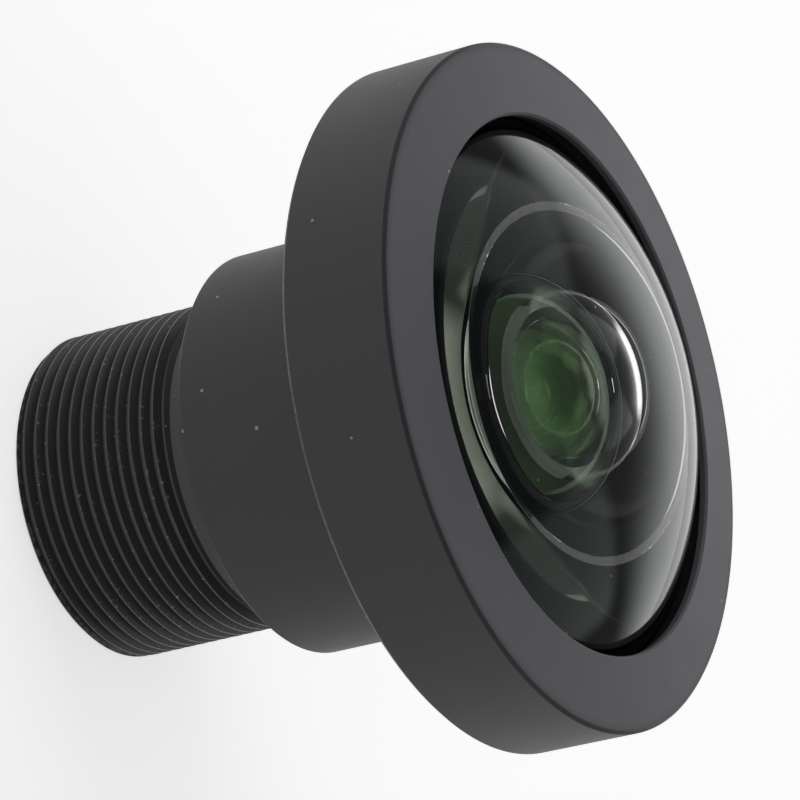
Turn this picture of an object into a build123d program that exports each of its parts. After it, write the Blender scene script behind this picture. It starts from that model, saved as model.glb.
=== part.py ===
from build123d import *
from build123d import SkipClean
import math
import os

# Fisheye lens on a fine metric thread, taken apart into its turned parts, glasses and seals.
# Lengths are in millimetres. The optical axis is +Z with the front glass up, and Z is 0 at the
# rear end of the thread.

# Outside of the lens
thread_diameter = 12.0
thread_pitch = 0.5
thread_allowance = 0.02
thread_flank_angle = 60.0
first_split_angle = 20.0
thread_crest_share = 1 / 8
thread_depth_share = 17 * math.sqrt(3) / 48
stem_length = 7.8
neck_length = 1.6
end_chamfer = 0.2
shoulder_relief = 0.15
barrel_diameter = 14.6
barrel_length = 7.5
rim_chamfer = 0.2
ring_wall = 1.25
ring_length = 4.1
ring_front_break = 0.12
ring_back_break = 0.18
face_rise = 0.3
lip_cover = 0.28
opening_bevel = 0.08
lip_thickness = 0.32

# Fits
glass_gap = 0.05
screw_gap = 0.05
seal_gap = 0.05

# Walls and bores of the barrel
cup_wall = 1.05
cup_rim_drop = 0.38
rear_bore_diameter = 9.0
rear_bore_chamfer = 0.25
flange_step = 0.2
web_thickness = 0.9
web_hole_diameter = 6.0

# Front glass, a deep meniscus
dome_radius = 15.0
front_glass_diameter = 19.8
front_glass_seat_depth = 1.95
front_edge_thickness = 1.3
front_hollow_diameter = 10.35
front_hollow_depth = 3.38
front_hollow_land = 0.015
front_bevel_width = 0.14
front_bevel_height = 0.15

# Seals
seal_setback = 0.18
o_ring_section = 0.46
o_ring_squeeze_gap = 0.02

# Rings and films between the glasses
film_thickness = 0.05
front_film_setback = 0.1
middle_film_opening = 5.0
rear_film_opening = 6.4
front_spacer_length = 0.5

# Second glass, a low dome with a hollow behind it, and its screwed ring
second_dome_radius = 8.5
second_dome_diameter = 9.2
second_apex_gap = 1.91
second_shoulder_rise = 0.2
second_flange_diameter = 9.8
second_flange_thickness = 0.6
second_hollow_radius = 4.05
second_centre_thickness = 0.9
retainer_wall = 1.0
retainer_ledge = 0.85
retainer_skirt_reach = 0.6
retainer_lip_rise = 0.3
retainer_lip_land = 0.2
retainer_slot_width = 0.8
retainer_slot_depth = 0.25

# Glasses in front of the stop
second_spacer_length = 1.1
third_edge_thickness = 2.2
third_front_radius = 9.0
third_rear_radius = 5.5
third_clear_margin = 0.3
third_spacer_length = 1.7
fourth_edge_thickness = 1.75
fourth_front_radius = 5.5
fourth_rear_radius = 12.0
fourth_clear_margin = 0.2
spacer_wall = 1.15
stop_spacer_length = 0.7
stop_thickness = 0.1
stop_opening = 1.8

# Glasses behind the stop
doublet_front_edge = 0.6
doublet_front_radius = 7.0
doublet_clear_margin = 0.1
cement_radius = 6.5
doublet_rear_centre = 0.49
rear_spacer_length = 0.8
rear_spacer_wall = 0.95
rear_element_edge = 1.0
rear_element_front_radius = 11.0
rear_element_back_radius = 14.0
filter_spacer_length = 0.65
filter_thickness = 0.3
rear_ring_length = 1.0
rear_ring_wall = 0.85
rear_ring_bevel = 0.3
rear_slot_width = 0.8
rear_slot_depth = 0.5

# Radii that several pieces share, from the glass and bores outwards
crest_radius = thread_diameter / 2 - thread_allowance
thread_depth = thread_pitch * thread_depth_share
root_radius = crest_radius - thread_depth
front_glass_radius = front_glass_diameter / 2
cup_bore_radius = front_glass_radius + glass_gap
cup_radius = cup_bore_radius + cup_wall
ring_bore_radius = cup_radius + screw_gap
ring_radius = ring_bore_radius + ring_wall
opening_radius = front_glass_radius - lip_cover
second_flange_radius = second_flange_diameter / 2
retainer_inner_radius = second_flange_radius + glass_gap
retainer_radius = retainer_inner_radius + retainer_wall
retainer_foot_radius = retainer_radius - retainer_ledge
stack_bore_radius = second_flange_radius - flange_step
stack_radius = stack_bore_radius - glass_gap
stack_opening_radius = stack_radius - spacer_wall
rear_bore_radius = rear_bore_diameter / 2
rear_glass_radius = rear_bore_radius - glass_gap
rear_opening_radius = rear_glass_radius - rear_spacer_wall
web_hole_radius = web_hole_diameter / 2
front_hollow_rim_radius = front_hollow_diameter / 2
front_boss_radius = front_hollow_rim_radius + front_hollow_land
front_bevel_radius = front_boss_radius + front_bevel_width
front_shield_opening_radius = front_bevel_radius + front_film_setback
second_dome_rim_radius = second_dome_diameter / 2


def sag(radius, reach):
    """Depth of a ball of the given radius over a circle of the given reach."""
    return radius - math.sqrt(radius * radius - reach * reach)


# Heights of the outside, from the rear end up
shoulder_z = stem_length
head_back_z = shoulder_z + barrel_length
ring_front_z = head_back_z + ring_length
lip_top_z = ring_front_z + face_rise
lip_low_z = lip_top_z - lip_thickness
cup_rim_z = lip_low_z - cup_rim_drop

# Front glass and its seat
front_glass_seat_z = ring_front_z - front_glass_seat_depth
front_edge_top_z = front_glass_seat_z + front_edge_thickness
front_apex_z = front_edge_top_z + sag(dome_radius, front_glass_radius)
dome_centre_z = front_apex_z - dome_radius
front_boss_low_z = front_glass_seat_z - front_bevel_height
front_hollow_apex_z = front_boss_low_z + front_hollow_depth
front_shield_low_z = front_glass_seat_z - film_thickness
cup_floor_z = front_shield_low_z - front_spacer_length

# Second glass and the stack of rings and glasses under it, down to the web of the barrel
second_apex_z = front_hollow_apex_z - second_apex_gap
second_dome_centre_z = second_apex_z - second_dome_radius
second_shoulder_z = cup_floor_z + second_shoulder_rise
second_seat_z = second_shoulder_z - second_flange_thickness
second_hollow_apex_z = second_apex_z - second_centre_thickness
retainer_foot_z = second_seat_z - retainer_skirt_reach
third_top_z = second_seat_z - second_spacer_length
third_low_z = third_top_z - third_edge_thickness
fourth_top_z = third_low_z - film_thickness - third_spacer_length
fourth_low_z = fourth_top_z - fourth_edge_thickness
stop_top_z = fourth_low_z - stop_spacer_length
web_top_z = stop_top_z - stop_thickness
web_low_z = web_top_z - web_thickness

# Cemented pair under the web, and the rear stack down to its screwed ring
cement_edge_z = web_low_z - doublet_front_edge
cement_low_z = cement_edge_z - sag(cement_radius, rear_glass_radius)
doublet_low_z = cement_low_z - doublet_rear_centre
rear_spacer_top_z = doublet_low_z - film_thickness
rear_element_top_z = rear_spacer_top_z - rear_spacer_length
rear_element_low_z = rear_element_top_z - rear_element_edge
filter_top_z = rear_element_low_z - filter_spacer_length
filter_low_z = filter_top_z - filter_thickness
rear_ring_low_z = filter_low_z - rear_ring_length

# Cutting tools run past the solids by these lengths
overrun = 1.0
tool_margin = 0.02


def turned(*points):
    """Solid turned about the optical axis from half section points, each a radius and a height."""
    section = make_face(Polyline(*points, close=True))
    return revolve(Plane.XZ * section, Axis.Z)


def tube(outer, inner, low, high):
    """Plain turned ring between two radii and two heights."""
    return turned((inner, low), (outer, low), (outer, high), (inner, high))


def disc(radius, low, high):
    """Plain turned disc between two heights."""
    return turned((0, low), (radius, low), (radius, high), (0, high))


def ball(radius, centre):
    """Ball on the optical axis, the tool of a ground glass surface."""
    return Pos(0, 0, centre) * Sphere(radius)


def cap_up(radius, reach, base):
    """Convex surface that stands up from the base plane over a circle."""
    top = base + sag(radius, reach)
    return disc(reach, base, top) & ball(radius, top - radius)


def cap_down(radius, reach, base):
    """Convex surface that hangs below the base plane over a circle."""
    low = base - sag(radius, reach)
    return disc(reach, low, base) & ball(radius, low + radius)


def spanner_slot(width, low, high, reach):
    """Straight bar across the axis that cuts the two slots of a screwed ring."""
    bar = Box(reach + reach, width, high - low, align=(Align.CENTER, Align.CENTER, Align.MIN))
    return Pos(0, 0, low) * bar


def thread_groove(low, high):
    """Helical groove of the outside thread between two heights."""
    path = Helix(thread_pitch, high - low, crest_radius, center=(0, 0, low))
    slope = math.tan(math.radians(thread_flank_angle / 2))
    half_mouth = (thread_pitch - thread_pitch * thread_crest_share) / 2
    half_root = half_mouth - thread_depth * slope
    half_tool = half_mouth + tool_margin * slope
    plane = Plane(origin=path @ 0, x_dir=(1, 0, 0), z_dir=path % 0)
    outline = Polyline(
        (-thread_depth, -half_root),
        (tool_margin, -half_tool),
        (tool_margin, half_tool),
        (-thread_depth, half_root),
        close=True,
    )
    return sweep(plane * make_face(outline), path, is_frenet=True)


def neck_cut():
    """Ring cut of the plain neck at the end of the thread, undercut into the shoulder."""
    neck_low_z = shoulder_z - neck_length
    return turned(
        (root_radius, neck_low_z + crest_radius - root_radius),
        (crest_radius, neck_low_z),
        (crest_radius + overrun, neck_low_z),
        (crest_radius + overrun, shoulder_z),
        (crest_radius + screw_gap, shoulder_z),
        (root_radius, shoulder_z + shoulder_relief),
    )


def end_cut(low):
    """Facing cut of the thread's rear end, with its outer and inner chamfers."""
    inner = rear_bore_radius
    outer = crest_radius
    return turned(
        (inner - overrun, low),
        (outer + overrun, low),
        (outer + overrun, end_chamfer + overrun),
        (outer - end_chamfer, 0),
        (inner + rear_bore_chamfer, 0),
        (inner, rear_bore_chamfer),
        (inner - overrun, rear_bore_chamfer),
    )


def blank_body(low):
    """Turned blank of the barrel, from a stem that starts at the given height up to the cup's rim."""
    barrel_radius = barrel_diameter / 2
    retainer_bore_radius = retainer_radius + screw_gap
    retainer_floor_z = retainer_foot_z - screw_gap
    return turned(
        (rear_bore_radius, low),
        (crest_radius, low),
        (crest_radius, shoulder_z),
        (barrel_radius - rim_chamfer, shoulder_z),
        (barrel_radius, shoulder_z + rim_chamfer),
        (barrel_radius, head_back_z),
        (cup_radius, head_back_z),
        (cup_radius, cup_rim_z),
        (cup_bore_radius, cup_rim_z),
        (cup_bore_radius, cup_floor_z),
        (retainer_bore_radius, cup_floor_z),
        (retainer_bore_radius, retainer_floor_z),
        (stack_bore_radius, retainer_floor_z),
        (stack_bore_radius, web_top_z),
        (web_hole_radius, web_top_z),
        (web_hole_radius, web_low_z),
        (rear_bore_radius, web_low_z),
    )


def in_quarters(body):
    """The same body with its faces split at quarter turns, so that each crest face is a short arc."""
    sectors = [body]
    with SkipClean():
        for angle in (first_split_angle, first_split_angle + 90):
            plane = Plane.XZ.rotated((0, 0, angle))
            cut = [split(sector, bisect_by=plane, keep=Keep.BOTH) for sector in sectors]
            sectors = [solid for pair in cut for solid in pair.solids()]
        whole = sectors[0]
        for sector in sectors[1:]:
            whole = whole + sector
    return whole


def make_barrel():
    """One body: threaded stem, neck, barrel, cup for the front glass and the groove of its rubber ring."""
    blank_low_z = -overrun - thread_pitch
    body = blank_body(blank_low_z)
    body -= thread_groove(-overrun, shoulder_z - neck_length / 2)
    body -= neck_cut()
    body -= end_cut(blank_low_z - overrun)
    groove_radius = front_glass_radius + o_ring_room()
    groove_z = o_ring_height()
    half_width = o_ring_section / 2 + seal_gap
    body -= tube(groove_radius, front_glass_radius, groove_z - half_width, groove_z + half_width)
    return in_quarters(body)


def o_ring_height():
    """Height of the middle of the front glass's straight edge."""
    return (front_glass_seat_z + front_edge_top_z) / 2


def o_ring_room():
    """Room for the rubber ring from the glass's edge to the bottom of its groove."""
    return o_ring_section + 2 * o_ring_squeeze_gap


def make_front_ring():
    """Screwed ring with a slightly coned face and a thin lip over the front seal."""
    return turned(
        (ring_bore_radius, head_back_z),
        (ring_radius - ring_back_break, head_back_z),
        (ring_radius, head_back_z + ring_back_break),
        (ring_radius, ring_front_z - ring_front_break),
        (ring_radius - ring_front_break, ring_front_z),
        (opening_radius + opening_bevel, lip_top_z),
        (opening_radius, lip_top_z - opening_bevel),
        (opening_radius, lip_low_z),
        (ring_bore_radius, lip_low_z),
    )


def make_front_gasket():
    """Flat rubber seal under the lip, with its inner edge shaped to the dome."""
    outer_radius = cup_radius - seal_gap
    reach = dome_radius + seal_gap
    inner_radius = opening_radius + seal_setback
    blank = turned(
        (inner_radius, front_edge_top_z + seal_gap),
        (cup_bore_radius, front_edge_top_z + seal_gap),
        (cup_bore_radius, cup_rim_z),
        (outer_radius, cup_rim_z),
        (outer_radius, lip_low_z),
        (inner_radius, lip_low_z),
    )
    return blank - ball(reach, dome_centre_z)


def make_front_o_ring():
    """Round section rubber ring between the edge of the front glass and the cup."""
    centre_radius = front_glass_radius + o_ring_room() / 2
    return Pos(0, 0, o_ring_height()) * Torus(centre_radius, o_ring_section / 2)


def make_front_element():
    """Large front glass: outer dome, flat rear rim with a bevelled boss, and a hollow in the boss."""
    blank = turned(
        (0, front_boss_low_z),
        (front_boss_radius, front_boss_low_z),
        (front_bevel_radius, front_glass_seat_z),
        (front_glass_radius, front_glass_seat_z),
        (front_glass_radius, front_apex_z),
        (0, front_apex_z),
    )
    blank &= ball(dome_radius, dome_centre_z)
    hollow_radius = (front_hollow_rim_radius**2 + front_hollow_depth**2) / (2 * front_hollow_depth)
    return blank - ball(hollow_radius, front_hollow_apex_z - hollow_radius)


def make_front_shield():
    """Black film washer behind the flat rim of the front glass."""
    return tube(front_glass_radius, front_shield_opening_radius, front_shield_low_z, front_glass_seat_z)


def make_front_spacer():
    """Seat ring of the front glass, with an opening coned from the retainer to the film's opening."""
    return turned(
        (retainer_foot_radius + glass_gap, cup_floor_z),
        (front_glass_radius, cup_floor_z),
        (front_glass_radius, front_shield_low_z),
        (front_shield_opening_radius, front_shield_low_z),
    )


def make_second_retainer():
    """Screwed ring whose coned lip holds the second glass down by its shoulder."""
    lip_top = second_shoulder_z + retainer_lip_rise
    lip_radius = second_dome_rim_radius + glass_gap
    ring = turned(
        (retainer_inner_radius, retainer_foot_z),
        (retainer_radius, retainer_foot_z),
        (retainer_radius, cup_floor_z),
        (retainer_foot_radius, cup_floor_z),
        (lip_radius + retainer_lip_land, lip_top),
        (lip_radius, lip_top),
        (lip_radius, second_shoulder_z),
        (retainer_inner_radius, second_shoulder_z),
    )
    slot = spanner_slot(retainer_slot_width, lip_top - retainer_slot_depth, lip_top, retainer_radius)
    return ring - slot


def make_second_element():
    """Second glass: low dome on a flat flange, hollowed from behind."""
    flange = disc(second_flange_radius, second_seat_z, second_shoulder_z)
    dome = disc(second_dome_rim_radius, second_shoulder_z, second_apex_z)
    dome &= ball(second_dome_radius, second_dome_centre_z)
    hollow = ball(second_hollow_radius, second_hollow_apex_z - second_hollow_radius)
    return flange + dome - hollow


def spacer(low, high):
    """Spacer ring of the front stack."""
    return tube(stack_radius, stack_opening_radius, low, high)


def make_second_spacer():
    """Ring between the second and third glasses."""
    return spacer(third_top_z, second_seat_z)


def make_third_element():
    """Third glass, hollow on both sides."""
    reach = stack_opening_radius - third_clear_margin
    blank = disc(stack_radius, third_low_z, third_top_z)
    front_low_z = third_top_z - sag(third_front_radius, reach)
    rear_high_z = third_low_z + sag(third_rear_radius, reach)
    blank -= ball(third_front_radius, front_low_z + third_front_radius)
    return blank - ball(third_rear_radius, rear_high_z - third_rear_radius)


def make_middle_shield():
    """Black film washer behind the third glass."""
    return tube(stack_radius, middle_film_opening / 2, third_low_z - film_thickness, third_low_z)


def make_third_spacer():
    """Ring between the third and fourth glasses."""
    return spacer(fourth_top_z, third_low_z - film_thickness)


def make_fourth_element():
    """Fourth glass, full on both sides."""
    reach = stack_opening_radius - fourth_clear_margin
    edge = disc(stack_radius, fourth_low_z, fourth_top_z)
    front = cap_up(fourth_front_radius, reach, fourth_top_z)
    rear = cap_down(fourth_rear_radius, reach, fourth_low_z)
    return edge + front + rear


def make_stop_spacer():
    """Ring between the fourth glass and the stop."""
    return spacer(stop_top_z, fourth_low_z)


def make_aperture_stop():
    """Thin fixed stop with a knife edge that opens towards the rear."""
    opening = stop_opening / 2
    return turned(
        (opening + stop_thickness, web_top_z),
        (stack_radius, web_top_z),
        (stack_radius, stop_top_z),
        (opening, stop_top_z),
    )


def make_doublet_front():
    """Front half of the cemented pair, full on both sides."""
    edge = disc(rear_glass_radius, cement_edge_z, web_low_z)
    front = cap_up(doublet_front_radius, web_hole_radius - doublet_clear_margin, web_low_z)
    rear = cap_down(cement_radius, rear_glass_radius, cement_edge_z)
    return edge + front + rear


def make_doublet_rear():
    """Rear half of the cemented pair, hollow in front and flat behind."""
    blank = disc(rear_glass_radius, doublet_low_z, cement_edge_z)
    return blank - ball(cement_radius, cement_low_z + cement_radius)


def make_rear_shield():
    """Black film washer behind the cemented pair."""
    return tube(rear_glass_radius, rear_film_opening / 2, rear_spacer_top_z, doublet_low_z)


def make_rear_spacer():
    """Ring between the cemented pair and the rear glass."""
    return tube(rear_glass_radius, rear_opening_radius, rear_element_top_z, rear_spacer_top_z)


def make_rear_element():
    """Rear glass, full on both sides."""
    edge = disc(rear_glass_radius, rear_element_low_z, rear_element_top_z)
    front = cap_up(rear_element_front_radius, rear_opening_radius, rear_element_top_z)
    rear = cap_down(rear_element_back_radius, rear_opening_radius, rear_element_low_z)
    return edge + front + rear


def make_filter_spacer():
    """Ring that keeps the filter clear of the rear glass."""
    return tube(rear_glass_radius, rear_opening_radius, filter_top_z, rear_element_low_z)


def make_infrared_filter():
    """Flat filter glass over the rear opening."""
    return disc(rear_glass_radius, filter_low_z, filter_top_z)


def make_rear_ring():
    """Screwed ring that holds the rear stack, with two spanner slots."""
    outer = rear_bore_radius - screw_gap
    inner = outer - rear_ring_wall
    ring = turned(
        (inner + rear_ring_bevel, rear_ring_low_z),
        (outer, rear_ring_low_z),
        (outer, filter_low_z),
        (inner, filter_low_z),
        (inner, rear_ring_low_z + rear_ring_bevel),
    )
    slot_low = rear_ring_low_z - overrun
    return ring - spanner_slot(rear_slot_width, slot_low, rear_ring_low_z + rear_slot_depth, rear_bore_radius)


pieces = {
    "barrel": make_barrel,
    "front_ring": make_front_ring,
    "front_gasket": make_front_gasket,
    "front_o_ring": make_front_o_ring,
    "front_element": make_front_element,
    "front_shield": make_front_shield,
    "front_spacer": make_front_spacer,
    "second_retainer": make_second_retainer,
    "second_element": make_second_element,
    "second_spacer": make_second_spacer,
    "third_element": make_third_element,
    "middle_shield": make_middle_shield,
    "third_spacer": make_third_spacer,
    "fourth_element": make_fourth_element,
    "stop_spacer": make_stop_spacer,
    "aperture_stop": make_aperture_stop,
    "doublet_front": make_doublet_front,
    "doublet_rear": make_doublet_rear,
    "rear_shield": make_rear_shield,
    "rear_spacer": make_rear_spacer,
    "rear_element": make_rear_element,
    "filter_spacer": make_filter_spacer,
    "infrared_filter": make_infrared_filter,
    "rear_retainer": make_rear_ring,
}

os.makedirs("parts", exist_ok=True)
for name, make in pieces.items():
    export_step(make(), f"parts/{name}.step")
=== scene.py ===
"""Fisheye lens on a fine metric thread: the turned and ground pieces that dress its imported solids."""

import math

import bpy
from bpy.props import FloatProperty, FloatVectorProperty, IntProperty, PointerProperty
from bpy.types import Operator, Panel, PropertyGroup
from mathutils import Matrix, Vector


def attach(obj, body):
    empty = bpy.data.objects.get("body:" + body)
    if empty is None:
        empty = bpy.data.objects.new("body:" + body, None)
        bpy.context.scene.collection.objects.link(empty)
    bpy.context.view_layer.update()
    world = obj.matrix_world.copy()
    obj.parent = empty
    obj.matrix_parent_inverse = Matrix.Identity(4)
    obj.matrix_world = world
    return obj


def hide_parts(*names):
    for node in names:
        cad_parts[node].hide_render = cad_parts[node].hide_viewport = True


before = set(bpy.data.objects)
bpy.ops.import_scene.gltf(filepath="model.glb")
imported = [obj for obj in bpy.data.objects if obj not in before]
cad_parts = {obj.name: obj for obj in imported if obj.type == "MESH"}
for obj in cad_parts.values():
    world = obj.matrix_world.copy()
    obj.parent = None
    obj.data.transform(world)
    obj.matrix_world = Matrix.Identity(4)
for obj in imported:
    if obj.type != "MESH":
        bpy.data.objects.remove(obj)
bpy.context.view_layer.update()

bl_info = {
    "name": "Fisheye lens",
    "version": (1, 0, 0),
    "blender": (4, 5, 0),
    "location": "3D View > Sidebar > Lens",
    "description": "Builds the turned rings, seals and glasses of a fisheye lens over its solids",
    "category": "Object",
}

MM = 0.001
ARC_STEPS = 3

# Radii and heights that several pieces share, in millimetres
CREST_RADIUS, THREAD_TOP, SHOULDER = 5.98, 6.2, 7.8
CUP_BORE, CUP_FLOOR = 9.95, 16.9
LIP_LOW, FACE_LOW = 19.38, 19.4
DOME_RADIUS, DOME_CENTRE, DOME_EDGE = 15.0, 7.481, 18.75
FRONT_RADIUS, FRONT_FLAT, FRONT_BOSS = 9.9, 17.45, 17.3
BEVEL_INNER, BEVEL_OUTER = 5.19, 5.33
FILM_OPENING, FILM_LOW = 5.43, 17.4
FRONT_STACK, REAR_STACK = 4.65, 4.45
SLOT_WIDTH = 0.8
SEAL_EASE, RING_EASE, FILM_EASE = 0.03, 0.02, 0.01

# The camera that sees the lens as the photograph does
CAMERA_PLACE = (-0.15533176, -0.01835776, 0.09703729)
CAMERA_RIGHT = (0.48645746, -0.18035159, 0.85488739)
CAMERA_UP = (-0.00715973, 0.97760738, 0.21031535)
CAMERA_BACK = (-0.87367493, -0.10843023, 0.47427313)
CAMERA_LENS = 225.841

# Soft boxes and white card in the surround: degrees, and half sizes as shares of its radius
BOX_AZIMUTHS = (58, -52)
BOX_HEIGHT, BOX_WIDTH, BOX_RISE, BOX_BLUR = 42, 0.34, 0.30, 0.05
CARD_AZIMUTH = 7
FLOOR_GLOW = 0.62


class LensSizes(PropertyGroup):
    """Sizes that the turned pieces share."""

    turning_steps: IntProperty(
        name="Turning steps", description="Sides of each turned piece", default=192, min=24, max=512
    )
    edge_ease: FloatProperty(
        name="Edge ease",
        description="Radius of the broken edges of metal pieces",
        default=0.04 * MM,
        min=0.0,
        precision=5,
        unit="LENGTH",
    )
    thread_pitch: FloatProperty(
        name="Thread pitch",
        description="Distance between two crests of the mounting thread",
        default=0.5 * MM,
        min=0.1 * MM,
        precision=5,
        unit="LENGTH",
    )
    seat_gap: FloatProperty(
        name="Seat gap",
        description="Air left between a glass and what it rests on",
        default=0.01 * MM,
        min=0.0,
        precision=6,
        unit="LENGTH",
    )


class LensFinish(PropertyGroup):
    """Colours and finishes of the lens."""

    anodised: FloatVectorProperty(
        name="Anodised metal",
        description="Colour of the black anodised barrel and front ring",
        subtype="COLOR",
        default=(0.027, 0.028, 0.031),
        min=0.0,
        max=1.0,
    )
    anodised_roughness: FloatProperty(
        name="Anodised roughness",
        description="Roughness of the blasted and anodised metal",
        default=0.46,
        min=0.0,
        max=1.0,
        subtype="FACTOR",
    )
    thread: FloatVectorProperty(
        name="Thread",
        description="Colour of the thread and the neck",
        subtype="COLOR",
        default=(0.038, 0.039, 0.042),
        min=0.0,
        max=1.0,
    )
    # Painted light: a lighter, slightly violet tone on the front face of the ring, standing in for the
    # light that the face catches from above
    ring_face_painted_light: FloatVectorProperty(
        name="Ring face",
        description="Colour of the finely turned face of the front ring",
        subtype="COLOR",
        default=(0.122, 0.118, 0.136),
        min=0.0,
        max=1.0,
    )
    spacer: FloatVectorProperty(
        name="Spacer metal",
        description="Colour of the rings between the glasses",
        subtype="COLOR",
        default=(0.030, 0.031, 0.028),
        min=0.0,
        max=1.0,
    )
    rubber: FloatVectorProperty(
        name="Rubber",
        description="Colour of the seals",
        subtype="COLOR",
        default=(0.012, 0.012, 0.013),
        min=0.0,
        max=1.0,
    )
    film: FloatVectorProperty(
        name="Film",
        description="Colour of the black film washers and the stop",
        subtype="COLOR",
        default=(0.008, 0.008, 0.009),
        min=0.0,
        max=1.0,
    )
    front_coating: FloatVectorProperty(
        name="Front coating",
        description="Tint of the light that the front glass throws back",
        subtype="COLOR",
        default=(0.16, 0.21, 0.20),
        min=0.0,
        max=1.0,
    )
    inner_coating: FloatVectorProperty(
        name="Inner coating",
        description="Tint of the light that the inner glasses throw back",
        subtype="COLOR",
        default=(0.28, 0.72, 0.17),
        min=0.0,
        max=1.0,
    )
    filter_coating: FloatVectorProperty(
        name="Filter coating",
        description="Tint of the light that the infrared filter throws back",
        subtype="COLOR",
        default=(1.0, 0.30, 0.22),
        min=0.0,
        max=1.0,
    )
    lacquer: FloatVectorProperty(
        name="Lacquer",
        description="Tint of the light that the lacquered rear face of the front glass throws back",
        subtype="COLOR",
        default=(0.36, 0.385, 0.335),
        min=0.0,
        max=1.0,
    )
    ground_glass: FloatVectorProperty(
        name="Ground glass",
        description="Colour of the ground bevel round the hollow of the front glass",
        subtype="COLOR",
        default=(0.52, 0.53, 0.50),
        min=0.0,
        max=1.0,
    )
    front_index: FloatProperty(
        name="Front glass index",
        description="Refractive index of the front glass",
        default=1.85,
        min=1.0,
        max=2.0,
    )
    inner_index: FloatProperty(
        name="Inner glass index",
        description="Refractive index of the inner glasses",
        default=1.6,
        min=1.0,
        max=2.0,
    )


class LensStudio(PropertyGroup):
    """Floor and lights of the stage."""

    floor: FloatVectorProperty(
        name="Floor",
        description="Colour of the floor",
        subtype="COLOR",
        default=(0.80, 0.80, 0.80),
        min=0.0,
        max=1.0,
    )
    horizon: FloatProperty(
        name="Horizon",
        description="Brightness of the white surround low behind the lens",
        default=1.4,
        min=0.0,
    )
    sky: FloatProperty(
        name="Sky",
        description="Brightness of the surround high above the lens",
        default=0.20,
        min=0.0,
    )
    box: FloatProperty(
        name="Soft boxes",
        description="Brightness of the two soft boxes before the lens",
        default=0.75,
        min=0.0,
    )
    side_power: FloatProperty(
        name="Side power",
        description="Power of the lamp beside the lens",
        default=0.35,
        min=0.0,
        unit="POWER",
    )


class Wire:
    """An output socket; arithmetic on it adds Math nodes to its tree."""

    def __init__(self, sheet, socket):
        self.sheet = sheet
        self.socket = socket

    def maths(self, operation, *values):
        return self.sheet.node("ShaderNodeMath", {"operation": operation}, dict(enumerate(values)))

    def __add__(self, other):
        return self.maths("ADD", self, other)

    def __sub__(self, other):
        return self.maths("SUBTRACT", self, other)

    def __rsub__(self, other):
        return self.maths("SUBTRACT", other, self)

    def __mul__(self, other):
        return self.maths("MULTIPLY", self, other)

    def __truediv__(self, other):
        return self.maths("DIVIDE", self, other)

    def __pow__(self, other):
        return self.maths("POWER", self, other)

    __radd__ = __add__
    __rmul__ = __mul__


class Sheet:
    """A node tree that is written from top to bottom."""

    def __init__(self, tree):
        self.tree = tree
        tree.nodes.clear()

    def node(self, kind, settings=None, sockets=None, out=0):
        """Adds a node: its settings first, then the values or links of its sockets."""
        made = self.tree.nodes.new(kind)
        for name, value in (settings or {}).items():
            if name == "stops":
                ramp = made.color_ramp.elements
                while len(ramp) < len(value):
                    ramp.new(0.5)
                for stop, (place, tone) in zip(ramp, value):
                    stop.position = place
                    stop.color = (*tone, 1.0) if isinstance(tone, tuple) else (tone, tone, tone, 1.0)
            else:
                setattr(made, name, value)
        for name, value in (sockets or {}).items():
            socket = made.inputs[name]
            if isinstance(value, Wire):
                self.tree.links.new(value.socket, socket)
            elif isinstance(value, (tuple, list)) and len(value) == 3 and len(socket.default_value) == 4:
                socket.default_value = (*value, 1.0)
            else:
                socket.default_value = value
        return Wire(self, made.outputs[out]) if made.outputs else None

    def clamp(self, value, low, high, to_low=0.0, to_high=1.0):
        """Smooth step of a value between two limits."""
        sockets = {"Value": value, "From Min": low, "From Max": high, "To Min": to_low, "To Max": to_high}
        return self.node("ShaderNodeMapRange", {"interpolation_type": "SMOOTHSTEP"}, sockets)

    def mix(self, share, first, second):
        """Colour between two colours."""
        return self.node("ShaderNodeMix", {"data_type": "RGBA"}, {0: share, 6: first, 7: second}, out=2)

    def dot(self, first, second):
        """Scalar product of two vectors."""
        operation = {"operation": "DOT_PRODUCT"}
        return self.node("ShaderNodeVectorMath", operation, {0: first, 1: second}, out="Value")

    def noise(self, point, scale, detail=2.0, rough=0.5):
        """Fractal noise from 0 to 1."""
        sockets = {"Vector": point, "Scale": scale, "Detail": detail, "Roughness": rough}
        return self.node("ShaderNodeTexNoise", None, sockets)


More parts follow.
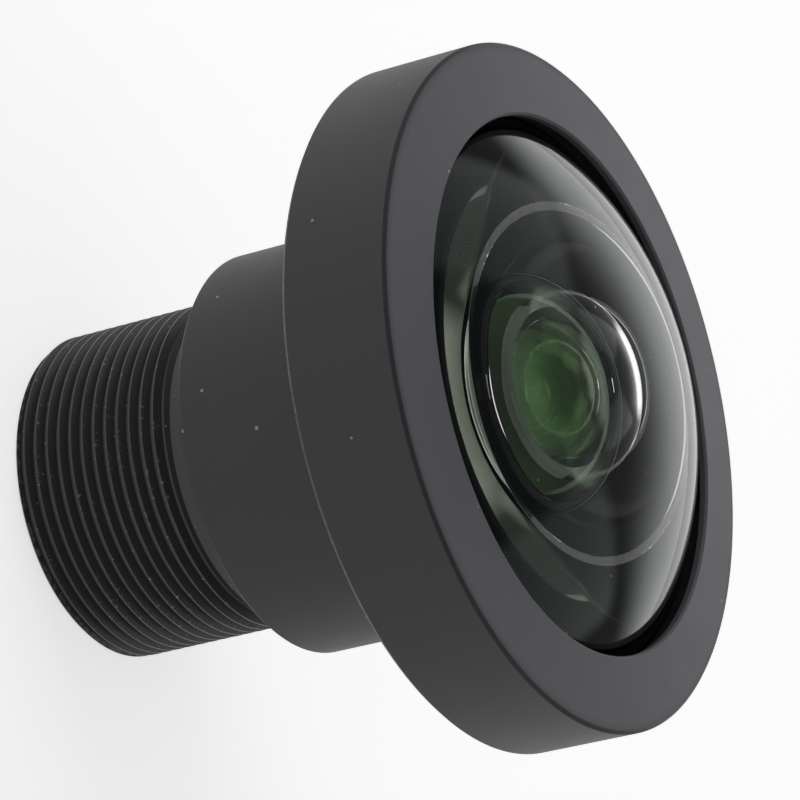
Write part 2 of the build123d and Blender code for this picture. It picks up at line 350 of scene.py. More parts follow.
class Surface(Sheet):
    """A material's sheet, with the place on the piece in millimetres."""

    def __init__(self, name):
        self.material = bpy.data.materials.new(name)
        self.material.use_nodes = True
        super().__init__(self.material.node_tree)
        coords = self.node("ShaderNodeTexCoord", out="Object")
        sockets = {0: coords, "Scale": 1000.0}
        self.point = self.node("ShaderNodeVectorMath", {"operation": "SCALE"}, sockets)
        split = self.node("ShaderNodeSeparateXYZ", None, {0: self.point})
        outputs = split.socket.node.outputs
        self.x, self.y, self.z = (Wire(self, outputs[axis]) for axis in range(3))
        self.radius = (self.x * self.x + self.y * self.y) ** 0.5

    def grooves(self, scale):
        """Fine turning lines round the axis."""
        along = self.node("ShaderNodeCombineXYZ", None, {0: self.radius, 1: self.z * 1.3})
        return self.noise(along, scale, 3.0, 0.65)

    def specks(self, size, share):
        """Rare small grains of dust, as a mask."""
        sockets = {"Vector": self.point, "Scale": 1.0 / size, "Randomness": 1.0}
        near = self.node("ShaderNodeTexVoronoi", None, sockets, out="Distance")
        tint = Wire(self, near.socket.node.outputs["Color"])
        pick = self.node("ShaderNodeSeparateXYZ", None, {0: tint})
        picks = pick.socket.node.outputs
        chosen = Wire(self, picks[0]).maths("GREATER_THAN", Wire(self, picks[0]), 1.0 - share)
        grain = near.maths("LESS_THAN", near, Wire(self, picks[1]) * 0.22 + 0.06)
        return chosen * grain

    def bump(self, height, depth):
        """Normal of a relief, its depth in millimetres."""
        sockets = {"Strength": 1.0, "Distance": depth * MM, "Height": height}
        return self.node("ShaderNodeBump", None, sockets)

    def principled(self, sockets):
        return self.node("ShaderNodeBsdfPrincipled", None, sockets)

    def finish(self, shader):
        self.node("ShaderNodeOutputMaterial", None, {"Surface": shader})
        return self.material


def shade(tone, factor):
    """A colour darkened or lightened by a factor."""
    return tuple(channel * factor for channel in tone)


def anodised_metal(finish):
    """Black anodised aluminium, blasted before the bath, with a glossier thread and a little dust; the
    ring's front face is painted lighter for the light it catches from above, and the rear edges carry a
    painted highlight mixed with wear.
    """
    sheet = Surface("anodised_black")
    grain = sheet.noise(sheet.point, 14.0, 3.0, 0.6)
    clouds = sheet.noise(sheet.point, 0.55, 3.0, 0.55)
    lines = sheet.grooves(9.0)
    stem = 1.0 - sheet.clamp(sheet.z, SHOULDER - 0.05, SHOULDER + 0.05)
    face = sheet.clamp(sheet.z, FACE_LOW - 0.04, FACE_LOW + 0.04)
    inner = (1.0 - sheet.clamp(sheet.radius, 4.8, 4.9)) * (1.0 - sheet.clamp(sheet.z, 7.5, 7.6))
    tone = tuple(finish.anodised)
    plain = sheet.mix(clouds, shade(tone, 0.86), shade(tone, 1.12))
    metal = sheet.mix(stem, plain, tuple(finish.thread))
    # Painted light: the ring's front face takes the lighter tone for the light that it catches from above
    metal = sheet.mix(face, metal, tuple(finish.ring_face_painted_light))
    crest = sheet.clamp(sheet.radius, CREST_RADIUS - 0.14, CREST_RADIUS - 0.04)
    crest = crest * (1.0 - sheet.clamp(sheet.z, THREAD_TOP, THREAD_TOP + 0.15))
    flecks = sheet.clamp(sheet.noise(sheet.point, 7.0, 3.0, 0.7), 0.58, 0.66) * crest
    flecks = flecks * sheet.clamp(sheet.noise(sheet.point, 0.7, 2.0, 0.5), 0.46, 0.60)
    metal = sheet.mix(flecks, metal, (0.26, 0.25, 0.24))
    # Painted highlight along the rear edges of the stem and the ring, mixed with patchy wear
    rear = (1.0 - sheet.clamp(sheet.z, 0.20, 0.34)) * sheet.clamp(sheet.radius, 5.72, 5.80)
    back = (1.0 - sheet.clamp(sheet.z, 15.42, 15.50)) * sheet.clamp(sheet.radius, 12.10, 12.16)
    edge_sheen_and_wear = (rear + back * 0.7) * sheet.clamp(sheet.noise(sheet.point, 4.0, 3.0, 0.6), 0.44, 0.60)
    metal = sheet.mix(edge_sheen_and_wear * 0.8, metal, (0.20, 0.15, 0.12))
    dust = sheet.specks(0.26, 0.008) + sheet.specks(0.12, 0.025) * stem
    colour = sheet.mix(dust, metal, (0.42, 0.41, 0.40))
    rough = finish.anodised_roughness + clouds * 0.08 - stem * 0.14 + grain * 0.06 + inner * 0.1
    height = grain * (1.0 - stem * 0.5) + lines * 0.5 + dust * 2.0 + flecks
    return sheet.finish(
        sheet.principled(
            {
                "Base Color": colour,
                "Roughness": rough,
                "Normal": sheet.bump(height, 0.004),
                "Specular IOR Level": 0.5,
            }
        )
    )


def spacer_metal(finish):
    """Black rings between the glasses, with turning lines."""
    sheet = Surface("spacer_black")
    lines = sheet.grooves(14.0)
    clouds = sheet.noise(sheet.point, 1.1, 2.0, 0.5)
    tone = tuple(finish.spacer)
    colour = sheet.mix(clouds, shade(tone, 0.8), shade(tone, 1.2))
    dust = sheet.specks(0.22, 0.012)
    colour = sheet.mix(dust, colour, (0.30, 0.30, 0.28))
    return sheet.finish(
        sheet.principled(
            {
                "Base Color": colour,
                "Roughness": 0.40 + lines * 0.12,
                "Normal": sheet.bump(lines + dust, 0.004),
                "Specular IOR Level": 0.5,
            }
        )
    )


def seal_rubber(finish):
    """Black rubber with a dull, slightly uneven skin."""
    sheet = Surface("seal_rubber")
    skin = sheet.noise(sheet.point, 6.0, 4.0, 0.6)
    tone = tuple(finish.rubber)
    colour = sheet.mix(skin, shade(tone, 0.7), shade(tone, 1.4))
    dust = sheet.specks(0.14, 0.035)
    colour = sheet.mix(dust, colour, (0.32, 0.31, 0.29))
    return sheet.finish(
        sheet.principled(
            {
                "Base Color": colour,
                "Roughness": 0.52 + skin * 0.14,
                "Normal": sheet.bump(skin + dust, 0.012),
                "Specular IOR Level": 0.4,
            }
        )
    )


def black_film(finish, name, rough):
    """Dull black film or blackened metal."""
    sheet = Surface(name)
    fibre = sheet.noise(sheet.point, 20.0, 2.0, 0.6)
    tone = tuple(finish.film)
    colour = sheet.mix(fibre, shade(tone, 0.7), shade(tone, 1.3))
    return sheet.finish(
        sheet.principled(
            {
                "Base Color": colour,
                "Roughness": rough + fibre * 0.1,
                "Normal": sheet.bump(fibre, 0.002),
                "Specular IOR Level": 0.3,
            }
        )
    )


def coated_glass(name, index, tint, dust_share, ground=None):
    """Clear coated glass with rare dust, and a ground band below a height if one is given."""
    sheet = Surface(name)
    glass = sheet.principled(
        {
            "Base Color": (1.0, 1.0, 1.0),
            "Roughness": 0.0,
            "IOR": index,
            "Transmission Weight": 1.0,
            "Specular Tint": tuple(tint),
        }
    )
    dust = sheet.principled({"Base Color": (0.55, 0.54, 0.50), "Roughness": 0.9})
    share = sheet.specks(0.20, dust_share)
    whole = sheet.node("ShaderNodeMixShader", None, {0: share, 1: glass, 2: dust})
    if ground:
        colour, inner, outer, top = ground
        chips = sheet.noise(sheet.point, 9.0, 3.0, 0.7)
        band = sheet.clamp(sheet.radius, inner - 0.002, inner)
        band = band * (1.0 - sheet.clamp(sheet.z, top, top + 0.002))
        edge = (chips - 0.5) * 0.16 + outer
        band = band * edge.maths("GREATER_THAN", edge, sheet.radius)
        frosted = sheet.mix(chips, shade(colour, 0.8), shade(colour, 1.2))
        frost = sheet.principled({"Base Color": frosted, "Roughness": 0.8})
        whole = sheet.node("ShaderNodeMixShader", None, {0: band, 1: whole, 2: frost})
    return sheet.finish(whole)


def rear_lacquer(finish):
    """Dark lacquer on the flat rear face of the front glass, seen through the glass."""
    sheet = Surface("rear_lacquer")
    clouds = sheet.noise(sheet.point, 0.8, 2.0, 0.5)
    tone = tuple(finish.lacquer)
    slant = sheet.node("ShaderNodeLayerWeight", None, {"Blend": 0.5}, out="Facing")
    gloss = sheet.mix(clouds, shade(tone, 0.92), shade(tone, 1.08))
    return sheet.finish(
        sheet.principled(
            {
                "Base Color": sheet.mix(sheet.clamp(slant, 0.17, 0.34), (0.02, 0.02, 0.018), gloss),
                "Metallic": 1.0,
                "Roughness": 0.02 + clouds * 0.01,
            }
        )
    )


MATERIALS = {}


def material(name):
    """The finish of that name, made once."""
    finish = bpy.context.scene.lens_finish
    ground = (tuple(finish.ground_glass), BEVEL_INNER - 0.02, BEVEL_OUTER, FRONT_FLAT + 0.01)
    makers = {
        "anodised_black": lambda: anodised_metal(finish),
        "spacer_black": lambda: spacer_metal(finish),
        "seal_rubber": lambda: seal_rubber(finish),
        "black_film": lambda: black_film(finish, "black_film", 0.5),
        "stop_black": lambda: black_film(finish, "stop_black", 0.42),
        "front_glass": lambda: coated_glass(
            "front_glass", finish.front_index, finish.front_coating, 0.002, ground
        ),
        "inner_glass": lambda: coated_glass(
            "inner_glass", finish.inner_index, finish.inner_coating, 0.001
        ),
        "filter_glass": lambda: coated_glass("filter_glass", 1.52, finish.filter_coating, 0.001),
        "edge_ink": lambda: black_film(finish, "edge_ink", 0.6),
        "rear_lacquer": lambda: rear_lacquer(finish),
    }
    if name not in MATERIALS:
        MATERIALS[name] = makers[name]()
    return MATERIALS[name]


def eased(section, ease):
    """The closed half section with its sharp corners rounded and a support point on each side."""
    points = []
    count = len(section)
    for index, corner in enumerate(section):
        before, after = section[index - 1], section[(index + 1) % count]
        back = (before[0] - corner[0], before[1] - corner[1])
        on = (after[0] - corner[0], after[1] - corner[1])
        run_in, run_out = math.hypot(*back), math.hypot(*on)
        cosine = (back[0] * on[0] + back[1] * on[1]) / (run_in * run_out)
        turn_angle = math.pi - math.acos(max(-1.0, min(1.0, cosine)))
        if turn_angle < math.radians(12) or ease <= 0:
            points.append(corner)
            continue
        reach = min(ease * math.tan(turn_angle / 2), run_in / 3.2, run_out / 3.2)
        start = (corner[0] + back[0] / run_in * reach, corner[1] + back[1] / run_in * reach)
        end = (corner[0] + on[0] / run_out * reach, corner[1] + on[1] / run_out * reach)
        lead = reach * 1.35
        points.append((corner[0] + back[0] / run_in * lead, corner[1] + back[1] / run_in * lead))
        for step in range(ARC_STEPS + 1):
            t = step / ARC_STEPS
            a, b, c = (1 - t) ** 2, 2 * t * (1 - t), t * t
            points.append(tuple(a * start[k] + b * corner[k] + c * end[k] for k in range(2)))
        points.append((corner[0] + on[0] / run_out * lead, corner[1] + on[1] / run_out * lead))
    return points


def arc(radius, centre, first, last, count):
    """Points of a ball's outline between two reaches from the axis, on its upper or lower side."""
    side = 1 if radius > 0 else -1
    radius = abs(radius)
    start, stop = math.asin(first / radius), math.asin(last / radius)
    points = []
    for step in range(count + 1):
        angle = start + (stop - start) * step / count
        points.append((radius * math.sin(angle), centre + side * radius * math.cos(angle)))
    return points


def sag(radius, reach):
    """Depth of a ball of the given radius over a circle of the given reach."""
    return radius - math.sqrt(radius * radius - reach * reach)


def rest():
    """Object mode with nothing selected."""
    if bpy.context.mode != "OBJECT":
        bpy.ops.object.mode_set(mode="OBJECT")
    bpy.ops.object.select_all(action="DESELECT")


def draw_ring(here, there):
    """Extrudes the selected ring of edges from one point of the half section to the next."""
    bpy.ops.mesh.extrude_region_move(TRANSFORM_OT_translate={"value": (0, 0, (there[1] - here[1]) * MM)})
    if there[0] > 0:
        scale = there[0] / here[0]
        bpy.ops.transform.resize(value=(scale, scale, 1), center_override=(0, 0, 0))
    else:
        bpy.ops.mesh.merge(type="CENTER")


def turn(name, section, steps):
    """A turned piece: a circle on the axis, drawn out ring by ring along the half section.

    The section is closed, or starts and ends on the axis."""
    solid = section[0][0] == 0
    path = section[1:] if solid else section
    rest()
    bpy.ops.mesh.primitive_circle_add(
        vertices=steps, radius=path[0][0] * MM, location=(0, 0, path[0][1] * MM)
    )
    piece = bpy.context.active_object
    piece.name = piece.data.name = name
    bpy.ops.object.transform_apply(location=True, rotation=True, scale=True)
    bpy.ops.object.mode_set(mode="EDIT")
    bpy.ops.mesh.select_all(action="SELECT")
    for here, there in zip(path, path[1:] + ([] if solid else path[:1])):
        draw_ring(here, there)
    if solid:
        bpy.ops.object.mode_set(mode="OBJECT")
        for vertex in piece.data.vertices:
            vertex.select = vertex.index < steps
        bpy.ops.object.mode_set(mode="EDIT")
        draw_ring(path[0], section[0])
    bpy.ops.mesh.select_all(action="SELECT")
    bpy.ops.mesh.remove_doubles(threshold=0.0005 * MM)
    bpy.ops.mesh.normals_make_consistent(inside=False)
    bpy.ops.object.mode_set(mode="OBJECT")
    bpy.ops.object.shade_smooth()
    return piece


def cut(piece, tool):
    """Takes a tool's solid out of a piece and clears the tool away."""
    rest()
    piece.select_set(True)
    bpy.context.view_layer.objects.active = piece
    change = piece.modifiers.new("cut", "BOOLEAN")
    change.operation = "DIFFERENCE"
    change.solver = "EXACT"
    change.object = tool
    bpy.ops.object.modifier_apply(modifier=change.name)
    bpy.data.meshes.remove(tool.data)
    bpy.ops.object.shade_smooth_by_angle(angle=math.radians(38))
    return piece


def bar(size, place):
    """A plain bar, the tool of two opposite slots."""
    rest()
    bpy.ops.mesh.primitive_cube_add(size=1, location=[value * MM for value in place])
    tool = bpy.context.active_object
    tool.scale = [value * MM for value in size]
    bpy.ops.object.transform_apply(location=True, rotation=True, scale=True)
    return tool


def dress(piece, body, slot, *nodes, finish=None):
    """Gives a piece its finish, its body and the solids that it stands for."""
    piece.data.materials.clear()
    piece.data.materials.append(material(finish or slot))
    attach(piece, body)
    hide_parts(*nodes)
    return piece


def coat(piece, name, inner, outer, low, high):
    """Gives the faces between two radii and two heights a finish of their own."""
    piece.data.materials.append(material(name))
    index = len(piece.data.materials) - 1
    for face in piece.data.polygons:
        place = face.center / MM
        if inner < math.hypot(place.x, place.y) < outer and low - 0.01 < place.z < high + 0.01:
            face.material_index = index


def ink_edge(piece, radius, low, high):
    """Blackens the straight edge of a glass."""
    coat(piece, "edge_ink", radius - 0.02, radius + 0.02, low, high)


def thread_tool(pitch, crest, root, low, high, steps):
    """Helical cutter of the thread's groove, from its outline by a screw."""
    rest()
    half_mouth = pitch * 7 / 16
    slope = math.tan(math.radians(30))
    reach = crest + 0.15
    half_out = half_mouth + 0.15 * slope
    half_root = half_mouth - (crest - root) * slope
    bpy.ops.mesh.primitive_plane_add(size=1, location=(0, 0, 0))
    tool = bpy.context.active_object
    tool.name = "thread_tool"
    corners = [(root, -half_root), (root, half_root), (reach, -half_out), (reach, half_out)]
    bpy.ops.object.mode_set(mode="EDIT")
    bpy.ops.mesh.select_all(action="SELECT")
    bpy.ops.mesh.delete(type="ONLY_FACE")
    bpy.ops.object.mode_set(mode="OBJECT")
    for vertex in tool.data.vertices:
        spot = corners[(2 if vertex.co.x > 0 else 0) + (1 if vertex.co.y > 0 else 0)]
        vertex.co = (spot[0] * MM, 0, (spot[1] + low) * MM)
    turns = math.ceil((high - low) / pitch)
    screw = tool.modifiers.new("screw", "SCREW")
    screw.axis = "Z"
    screw.angle = math.tau
    screw.screw_offset = pitch * MM
    screw.iterations = turns
    screw.steps = screw.render_steps = steps
    screw.use_merge_vertices = False
    bpy.ops.object.modifier_apply(modifier=screw.name)
    bpy.ops.object.mode_set(mode="EDIT")
    bpy.ops.mesh.select_all(action="SELECT")
    bpy.ops.mesh.remove_doubles(threshold=0.0005 * MM)
    bpy.ops.mesh.select_all(action="DESELECT")
    bpy.ops.mesh.select_non_manifold()
    bpy.ops.mesh.edge_face_add()
    bpy.ops.mesh.select_all(action="SELECT")
    bpy.ops.mesh.normals_make_consistent(inside=False)
    bpy.ops.object.mode_set(mode="OBJECT")
    return tool


class LensPiece:
    """What the operators of the pieces share."""

    bl_options = {"REGISTER", "UNDO"}

    def execute(self, context):
        self.make(context.scene.lens_sizes)
        return {"FINISHED"}


class LENS_OT_barrel(LensPiece, Operator):
    """Threaded stem, neck, barrel and cup, turned in one and threaded"""

    bl_idname = "lens.barrel"
    bl_label = "Barrel"

    def make(self, sizes):
        section = [
            (4.75, 0.0), (5.78, 0.0), (CREST_RADIUS, 0.2), (CREST_RADIUS, THREAD_TOP),
            (5.673, 6.507), (5.673, 7.95), (6.03, SHOULDER), (7.1, SHOULDER), (7.3, 8.0),
            (7.3, 15.3), (11.0, 15.3), (11.0, 19.0), (CUP_BORE, 19.0), (CUP_BORE, 18.38),
            (10.4, 18.38), (10.4, 17.82), (CUP_BORE, 17.82), (CUP_BORE, CUP_FLOOR),
            (6.0, CUP_FLOOR), (6.0, 15.85), (4.7, 15.85), (4.7, 8.9), (3.0, 8.9),
            (3.0, 8.0), (4.5, 8.0), (4.5, 0.25),
        ]
        barrel = turn("barrel_turned", eased(section, sizes.edge_ease / MM), sizes.turning_steps)
        pitch = sizes.thread_pitch / MM
        cut(barrel, thread_tool(pitch, CREST_RADIUS, 5.69, -2 * pitch, 6.9, sizes.turning_steps))
        dress(barrel, "lens_body", "anodised_black", "barrel")


class LENS_OT_front_ring(LensPiece, Operator):
    """Plain screwed ring with a thin lip over the front seal"""

    bl_idname = "lens.front_ring"
    bl_label = "Front ring"

    def make(self, sizes):
        section = [
            (11.05, 15.3), (12.12, 15.3), (12.3, 15.48), (12.3, 19.28), (12.18, FACE_LOW),
            (9.70, 19.7), (9.62, 19.62), (9.62, LIP_LOW), (11.05, LIP_LOW),
        ]
        ring = turn("front_ring_turned", eased(section, sizes.edge_ease / MM), sizes.turning_steps)
        dress(ring, "front_ring", "anodised_black", "front_ring")


class LENS_OT_seals(LensPiece, Operator):
    """Flat front seal, shaped to the dome of the front glass"""

    bl_idname = "lens.seals"
    bl_label = "Front seal"

    def make(self, sizes):
        inner, outer = 9.80, 10.95
        section = arc(DOME_RADIUS + 0.05, DOME_CENTRE, inner, 9.93, 4)
        section += [(9.93, 18.8), (CUP_BORE, 18.8), (CUP_BORE, 19.0), (outer, 19.0)]
        section += [(outer, LIP_LOW), (inner, LIP_LOW)]
        seal = turn("front_seal_ring", eased(section, SEAL_EASE), sizes.turning_steps)
        dress(seal, "front_seal", "seal_rubber", "front_gasket")
        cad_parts["front_o_ring"].material_slots[0].material = material("seal_rubber")


class LENS_OT_front_glass(LensPiece, Operator):
    """Large front glass with its film washer and seat ring"""

    bl_idname = "lens.front_glass"
    bl_label = "Front glass"

    def make(self, sizes):
        gap = sizes.seat_gap / MM
        dome = arc(DOME_RADIUS, DOME_CENTRE, 0.0, FRONT_RADIUS, 40)
        hollow = arc(5.6516, 15.0284, 5.175, 0.0, 48)
        rim = [(reach, FRONT_FLAT) for reach in (FRONT_RADIUS, 9.0, 7.5, 6.2, BEVEL_OUTER)]
        rim.append((BEVEL_INNER, FRONT_BOSS))
        section = dome + rim + hollow
        glass = turn("front_glass_ground", section, sizes.turning_steps)
        bpy.ops.object.shade_smooth_by_angle(angle=math.radians(30))
        dress(glass, "lens_body", "front_glass", "front_element")
        ink_edge(glass, FRONT_RADIUS, FRONT_FLAT, DOME_EDGE)
        coat(glass, "rear_lacquer", BEVEL_OUTER + 0.01, FRONT_RADIUS - 0.02, FRONT_FLAT, FRONT_FLAT)
        film = [(FILM_OPENING, FILM_LOW), (FRONT_RADIUS, FILM_LOW)]
        film += [(FRONT_RADIUS, FRONT_FLAT - gap), (FILM_OPENING, FRONT_FLAT - gap)]
        washer = turn("front_film", eased(film, FILM_EASE), sizes.turning_steps)
        dress(washer, "lens_body", "black_film", "front_shield")
        seat = [(5.15, CUP_FLOOR), (FRONT_RADIUS, CUP_FLOOR)]
        seat += [(FRONT_RADIUS, FILM_LOW), (FILM_OPENING, FILM_LOW)]
        ring = turn("front_seat_ring", eased(seat, RING_EASE), sizes.turning_steps)
        dress(ring, "lens_body", "spacer_black", "front_spacer")


class LENS_OT_second_glass(LensPiece, Operator):
    """Second glass under its coned and slotted ring"""

    bl_idname = "lens.second_glass"
    bl_label = "Second glass"

    def make(self, sizes):
        gap = sizes.seat_gap / MM
        lip, shoulder, seat = 17.4, 17.1, 16.5
        section = [
            (4.95, 15.9), (5.95, 15.9), (5.95, CUP_FLOOR), (5.1, CUP_FLOOR),
            (4.85, lip), (4.65, lip), (4.65, shoulder + gap), (4.95, shoulder + gap),
        ]
        ring = turn("second_ring", eased(section, SEAL_EASE), sizes.turning_steps)
        cut(ring, bar((11.9, SLOT_WIDTH, 0.25), (0, 0, lip - 0.25 / 2 + 0.001)))
        dress(ring, "lens_body", "spacer_black", "second_retainer", finish="stop_black")
        dome = arc(8.5, 10.27, 0.0, 4.6, 40)
        flange = [(4.6, shoulder), (4.9, shoulder), (4.9, seat + gap)]
        rim = math.sqrt(4.05 ** 2 - (seat + gap - 13.82) ** 2)
        hollow = arc(4.05, 13.82, rim, 0.0, 36)
        glass = turn("second_glass_ground", dome + flange + hollow, sizes.turning_steps)
        bpy.ops.object.shade_smooth_by_angle(angle=math.radians(30))
        dress(glass, "lens_body", "inner_glass", "second_element")
        ink_edge(glass, 4.9, seat, shoulder)


class LENS_OT_front_stack(LensPiece, Operator):
    """Rings, films and glasses between the second glass and the stop"""

    bl_idname = "lens.front_stack"
    bl_label = "Front stack"

    def make(self, sizes):
        steps = sizes.turning_steps
        gap = sizes.seat_gap / MM

        def ring(name, slot, node, inner, low, high):
            corners = [(inner, low), (FRONT_STACK, low), (FRONT_STACK, high), (inner, high)]
            dress(turn(name, eased(corners, RING_EASE), steps), "lens_body", slot, node)

        ring("second_spacer_ring", "spacer_black", "second_spacer", 3.5, 15.4 + gap, 16.5)
        ring("middle_film", "black_film", "middle_shield", 2.5, 13.15, 13.2 - gap)
        ring("third_spacer_ring", "spacer_black", "third_spacer", 3.5, 11.45 + gap, 13.15)
        ring("stop_spacer_ring", "spacer_black", "stop_spacer", 3.5, 9.0, 9.7 - gap)
        front_low = 15.4 - sag(9.0, 3.2)
        rear_high = 13.2 + sag(5.5, 3.2)
        third = [(0, front_low)] + self.curve(9.0, front_low + 9.0, 3.2, down=True)
        third += [(FRONT_STACK, 15.4), (FRONT_STACK, 13.2)]
        third += list(reversed(self.curve(5.5, rear_high - 5.5, 3.2))) + [(0, rear_high)]
        self.glass("third_glass", third, "third_element", 13.2, 15.4, steps)
        front_top = 11.45 + sag(5.5, 3.3)
        rear_low = 9.7 - sag(12.0, 3.3)
        fourth = [(0, front_top)] + self.curve(5.5, front_top - 5.5, 3.3)
        fourth += [(FRONT_STACK, 11.45), (FRONT_STACK, 9.7)]
        fourth += list(reversed(self.curve(12.0, rear_low + 12.0, 3.3, down=True))) + [(0, rear_low)]
        self.glass("fourth_glass", fourth, "fourth_element", 9.7, 11.45, steps)
        plate = [(1.0, 8.9), (FRONT_STACK, 8.9), (FRONT_STACK, 9.0), (0.9, 9.0)]
        stop = turn("stop_plate", plate, steps)
        bpy.ops.object.shade_smooth_by_angle(angle=math.radians(20))
        dress(stop, "lens_body", "stop_black", "aperture_stop")

    @staticmethod
    def curve(radius, centre, reach, down=False):
        """Points of a ground surface from near the axis to its rim."""
        points = arc(-radius if down else radius, centre, 0.0, reach, 24)
        return points[1:]

    @staticmethod
    def glass(name, section, node, low, high, steps):
        """Turned inner glass with a blackened edge."""
        piece = turn(name, section, steps)
        bpy.ops.object.shade_smooth_by_angle(angle=math.radians(20))
        dress(piece, "lens_body", "inner_glass", node)
        ink_edge(piece, FRONT_STACK, low, high)


class LENS_OT_rear_stack(LensPiece, Operator):
    """Cemented pair, rear glass, filter and their rings"""

    bl_idname = "lens.rear_stack"
    bl_label = "Rear stack"

    def make(self, sizes):
        steps = sizes.turning_steps
        gap = sizes.seat_gap / MM

        def ring(name, body, slot, node, inner, low, high):
            corners = [(inner, low), (REAR_STACK, low), (REAR_STACK, high), (inner, high)]
            dress(turn(name, eased(corners, RING_EASE), steps), body, slot, node)

        def glass(name, section, node, low, high, slot="inner_glass", body="lens_body"):
            piece = turn(name, section, steps)
            bpy.ops.object.shade_smooth_by_angle(angle=math.radians(20))
            dress(piece, body, slot, node)
            ink_edge(piece, REAR_STACK, low, high)

        curve = LENS_OT_front_stack.curve
        cement_low = 7.4 - sag(6.5, REAR_STACK)
        front_top = 8.0 + sag(7.0, 2.9)
        pair_front = [(0, front_top)] + curve(7.0, front_top - 7.0, 2.9) + [(REAR_STACK, 8.0 - gap)]
        pair_front += list(reversed(curve(6.5, cement_low + 6.5 + gap, REAR_STACK, down=True)))
        pair_front += [(0, cement_low + gap)]
        glass("pair_front_glass", pair_front, "doublet_front", 7.4, 8.0)
        pair_low = cement_low - 0.49
        pair_rear = [(0, cement_low)] + curve(6.5, cement_low + 6.5, REAR_STACK, down=True)
        pair_rear += [(REAR_STACK, pair_low + gap), (2.0, pair_low + gap), (0, pair_low + gap)]
        glass("pair_rear_glass", pair_rear, "doublet_rear", pair_low, 7.4)
        ring("rear_film", "lens_body", "black_film", "rear_shield", 3.2, pair_low - 0.05, pair_low)
        ring("rear_spacer_ring", "lens_body", "spacer_black", "rear_spacer", 3.5, 4.298, 5.098)
        rear_top = 4.298 - gap + sag(11.0, 3.5)
        rear_low = 3.298 + gap - sag(14.0, 3.5)
        rear = [(0, rear_top)] + curve(11.0, rear_top - 11.0, 3.5)
        rear += [(REAR_STACK, 4.298 - gap), (REAR_STACK, 3.298 + gap)]
        rear += list(reversed(curve(14.0, rear_low + 14.0, 3.5, down=True))) + [(0, rear_low)]
        glass("rear_glass", rear, "rear_element", 3.298, 4.298)
        ring("filter_spacer_ring", "lens_body", "spacer_black", "filter_spacer", 3.5, 2.648, 3.298)
        pane = [(0, 2.648 - gap), (2.2, 2.648 - gap)]
        pane += [(REAR_STACK, 2.648 - gap), (REAR_STACK, 2.348 + gap)]
        pane += [(2.2, 2.348 + gap), (0, 2.348 + gap)]
        glass("filter_pane", pane, "infrared_filter", 2.348, 2.648, "filter_glass", "rear_filter")
        section = [(3.9, 1.348), (REAR_STACK, 1.348), (REAR_STACK, 2.348), (3.6, 2.348), (3.6, 1.648)]
        holder = turn("rear_ring_turned", eased(section, SEAL_EASE), steps)
        cut(holder, bar((8.95, SLOT_WIDTH, 0.5), (0, 0, 1.348 + 0.25 - 0.001)))
        dress(holder, "rear_ring", "anodised_black", "rear_retainer")


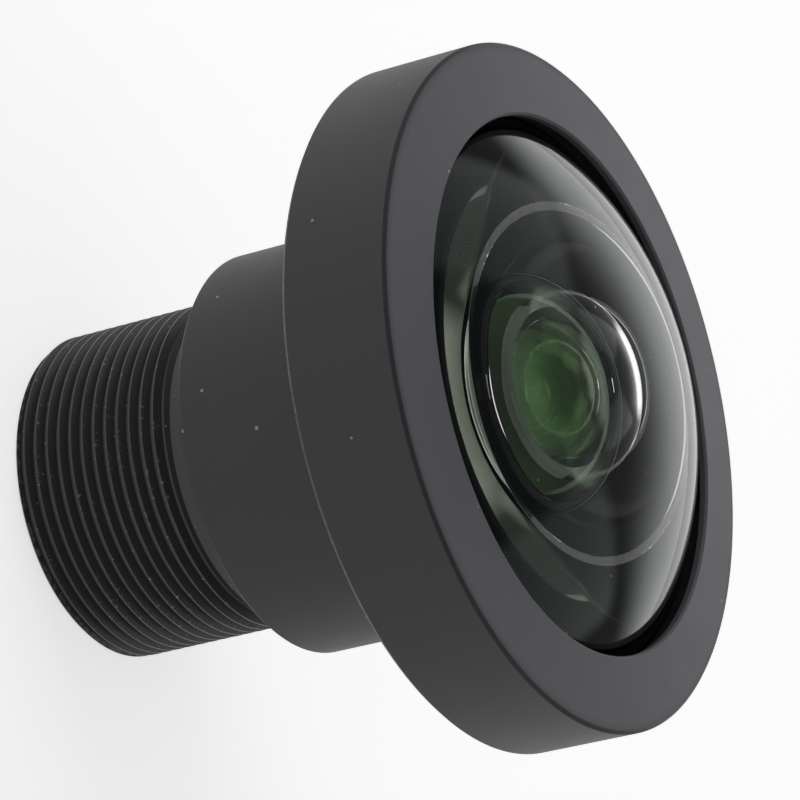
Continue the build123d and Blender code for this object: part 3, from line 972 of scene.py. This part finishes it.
class LENS_OT_stage(Operator):
    """Floor, surround, soft boxes and camera"""

    bl_idname = "lens.stage"
    bl_label = "Stage"

    def execute(self, context):
        studio = context.scene.lens_studio
        self.floor(studio)
        self.surround(context.scene, studio)
        self.lamp("side_lamp", (0.02, 0.38, 0.22), (0.30, 0.20), studio.side_power)
        self.camera(context.scene)
        context.scene.view_settings.view_transform = "Standard"
        return {"FINISHED"}

    def floor(self, studio):
        """Pale floor that keeps the shadow and glows where the camera or the gloss sees it."""
        rest()
        bpy.ops.mesh.primitive_grid_add(x_subdivisions=8, y_subdivisions=8, size=6.0, location=(0, 0, 0))
        floor = bpy.context.active_object
        floor.name = floor.data.name = "studio_floor"
        sheet = Surface("studio_floor")
        paper = sheet.noise(sheet.point, 0.05, 2.0, 0.5)
        tone = tuple(studio.floor)
        diffuse = sheet.principled(
            {
                "Base Color": sheet.mix(paper, shade(tone, 0.99), tone),
                "Roughness": 0.9,
                "Specular IOR Level": 0.1,
            }
        )
        path = sheet.node("ShaderNodeLightPath", out="Is Camera Ray")
        outputs = path.socket.node.outputs
        seen = path
        for kind in ("Is Glossy Ray", "Is Transmission Ray"):
            other = Wire(sheet, outputs[kind])
            seen = seen.maths("MAXIMUM", seen, other)
        light = {"Color": (1.0, 1.0, 1.0), "Strength": seen * FLOOR_GLOW}
        glow = sheet.node("ShaderNodeEmission", None, light)
        whole = sheet.node("ShaderNodeAddShader", None, {0: diffuse, 1: glow})
        floor.data.materials.append(sheet.finish(whole))

    def surround(self, scene, studio):
        """White for the camera; for the lens a dim sky, a low white card and two soft boxes."""
        world = scene.world or bpy.data.worlds.new("surround")
        scene.world = world
        world.use_nodes = True
        sheet = Sheet(world.node_tree)
        way = sheet.node("ShaderNodeTexCoord", out="Generated")
        split = sheet.node("ShaderNodeSeparateXYZ", None, {0: way})
        outputs = split.socket.node.outputs
        ahead, across, height = (Wire(sheet, outputs[axis]) for axis in range(3))
        low = 1.0 - sheet.clamp(height, 0.22, 0.66)
        turned = math.radians(CARD_AZIMUTH)
        toward = ahead * math.cos(turned) + across * math.sin(turned)
        toward = toward / (1.0 - height * height) ** 0.5
        card = sheet.clamp(toward, 0.82, 0.94)
        near = 1.0 - sheet.clamp(ahead, -0.4, 0.3)
        level = studio.sky + low * ((card + near * 0.35) * (studio.horizon - studio.sky) - 0.06)
        boxes = self.box(sheet, way, BOX_AZIMUTHS[0]) + self.box(sheet, way, BOX_AZIMUTHS[1])
        level = level + boxes * (studio.box - studio.sky)
        path = sheet.node("ShaderNodeLightPath", out="Is Camera Ray")
        strength = level + path * (1.0 - level)
        back = sheet.node("ShaderNodeBackground", None, {"Color": (1.0, 1.0, 1.0), "Strength": strength})
        sheet.node("ShaderNodeOutputWorld", None, {"Surface": back})

    @staticmethod
    def box(sheet, way, azimuth):
        """Mask of a soft box in the surround, turned from the lens's front and half way up."""
        side = (-math.sin(math.radians(azimuth)), math.cos(math.radians(azimuth)), 0.0)
        rise = math.radians(BOX_HEIGHT)
        up = (-math.sin(rise) * side[1], math.sin(rise) * side[0], math.cos(rise))
        mask = 1.0
        for axis, half in ((side, BOX_WIDTH), (up, BOX_RISE)):
            reach = sheet.dot(way, axis)
            reach = reach.maths("ABSOLUTE", reach)
            mask = (1.0 - sheet.clamp(reach, half - BOX_BLUR, half + BOX_BLUR)) * mask
        ahead = (side[1] * math.cos(rise), -side[0] * math.cos(rise), math.sin(rise))
        facing = sheet.dot(way, ahead)
        return mask * facing.maths("GREATER_THAN", facing, 0.0)

    def lamp(self, name, place, size, power):
        """Soft lamp that looks at the origin and that no gloss or glass sees."""
        rest()
        bpy.ops.object.light_add(type="AREA", location=place)
        lamp = bpy.context.active_object
        lamp.name = lamp.data.name = name
        lamp.data.shape = "RECTANGLE"
        lamp.data.size, lamp.data.size_y = size
        lamp.data.energy = power
        lamp.visible_glossy = lamp.visible_transmission = False
        lamp.rotation_mode = "QUATERNION"
        lamp.rotation_quaternion = Vector(place).to_track_quat("Z", "Y")

    def camera(self, scene):
        """Camera at the photograph's angle."""
        rest()
        bpy.ops.object.camera_add()
        camera = bpy.context.active_object
        camera.name = camera.data.name = "camera"
        axes = (CAMERA_RIGHT, CAMERA_UP, CAMERA_BACK)
        rows = [[*(axis[row] for axis in axes), CAMERA_PLACE[row]] for row in range(3)]
        camera.matrix_world = Matrix([*rows, [0, 0, 0, 1]])
        camera.data.lens = CAMERA_LENS
        camera.data.sensor_width = 36.0
        camera.data.clip_start, camera.data.clip_end = 0.01, 20.0
        scene.camera = camera


PIECES = (
    LENS_OT_barrel,
    LENS_OT_front_ring,
    LENS_OT_seals,
    LENS_OT_front_glass,
    LENS_OT_second_glass,
    LENS_OT_front_stack,
    LENS_OT_rear_stack,
)


class LENS_PT_pieces(Panel):
    """Pieces of the lens and its stage"""

    bl_idname = "LENS_PT_pieces"
    bl_label = "Fisheye lens"
    bl_space_type = "VIEW_3D"
    bl_region_type = "UI"
    bl_category = "Lens"

    def draw(self, context):
        for group in (context.scene.lens_sizes, context.scene.lens_finish, context.scene.lens_studio):
            box = self.layout.box()
            for name in group.__annotations__:
                box.prop(group, name)
        for piece in (*PIECES, LENS_OT_stage):
            self.layout.operator(piece.bl_idname)


CLASSES = (LensSizes, LensFinish, LensStudio, *PIECES, LENS_OT_stage, LENS_PT_pieces)


def register():
    """Registers the classes and the scene's three groups of settings."""
    for item in CLASSES:
        bpy.utils.register_class(item)
    bpy.types.Scene.lens_sizes = PointerProperty(type=LensSizes)
    bpy.types.Scene.lens_finish = PointerProperty(type=LensFinish)
    bpy.types.Scene.lens_studio = PointerProperty(type=LensStudio)


def unregister():
    """Takes the groups and the classes away again."""
    del bpy.types.Scene.lens_sizes, bpy.types.Scene.lens_finish, bpy.types.Scene.lens_studio
    for item in reversed(CLASSES):
        bpy.utils.unregister_class(item)


def main():
    """Builds every piece and the stage."""
    register()
    bpy.ops.lens.barrel()
    bpy.ops.lens.front_ring()
    bpy.ops.lens.seals()
    bpy.ops.lens.front_glass()
    bpy.ops.lens.second_glass()
    bpy.ops.lens.front_stack()
    bpy.ops.lens.rear_stack()
    bpy.ops.lens.stage()


if __name__ == "__main__":
    main()
